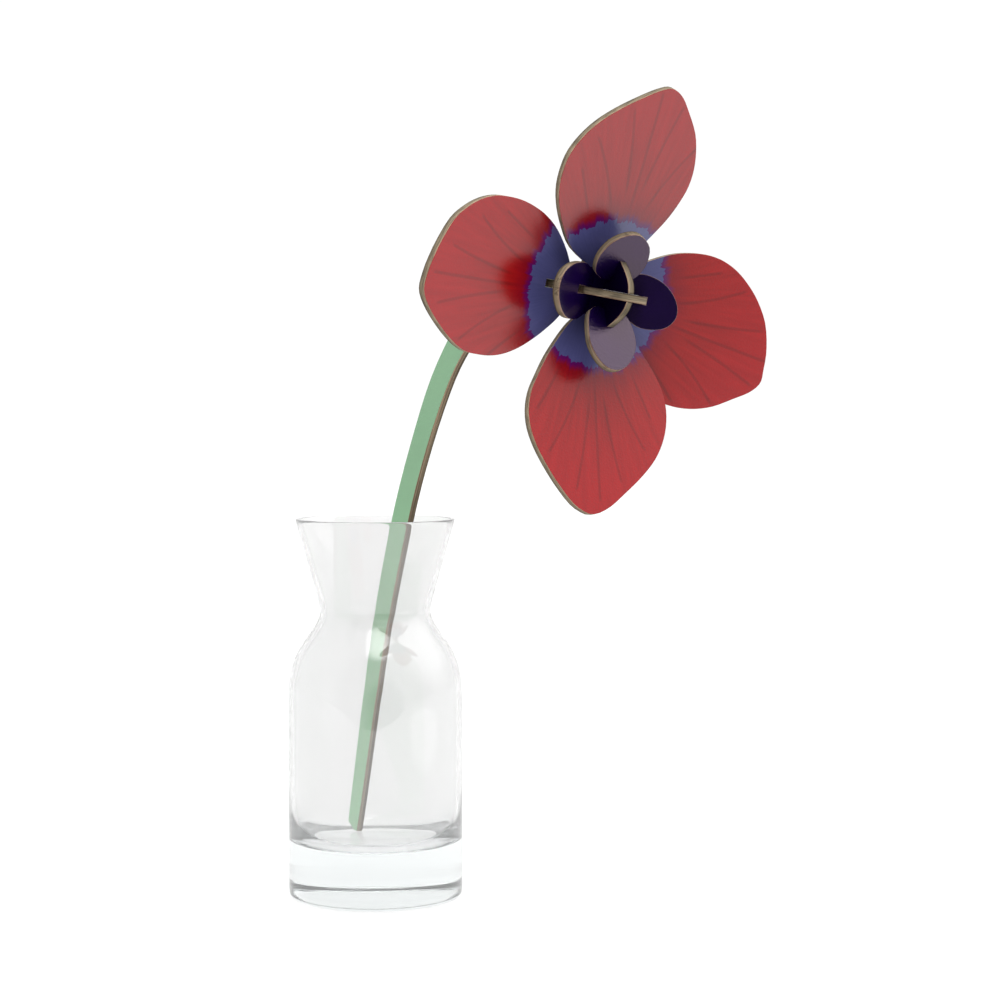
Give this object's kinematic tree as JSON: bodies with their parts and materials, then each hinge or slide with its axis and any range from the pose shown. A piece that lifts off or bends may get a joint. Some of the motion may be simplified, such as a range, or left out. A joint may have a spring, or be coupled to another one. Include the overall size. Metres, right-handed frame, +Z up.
{
  "type": "slotted card anemone flower in a glass vase",
  "caption": "Flat-pack card anemone, broad petals and dark centre lobes slotted onto a bent card stem, standing in a small clear glass carafe vase.",
  "frame": {"origin": "centre of the vase's flat underside", "axes": "+Z up along the vase's axis; seen from the front, from -Y, the stem bends over to +X and the flower faces +X and -Y"},
  "size_m": [0.1682, 0.1523, 0.2811],
  "materials": {
    "glass": "clear, polished",
    "petal_card": "printed grey board under a satin film",
    "lobe_card": "printed grey board under a satin film",
    "stem_card": "printed grey board under a satin film"
  },
  "bodies": {
    "root": {"vase": "glass", "petal_left": "petal_card", "petal_top": "petal_card", "petal_right": "petal_card", "petal_bottom": "petal_card", "lobe_left": "lobe_card", "lobe_top": "lobe_card", "lobe_right": "lobe_card", "lobe_bottom": "lobe_card", "cross_plate": "lobe_card", "stem_plate": "stem_card"}
  },
  "joints": []
}
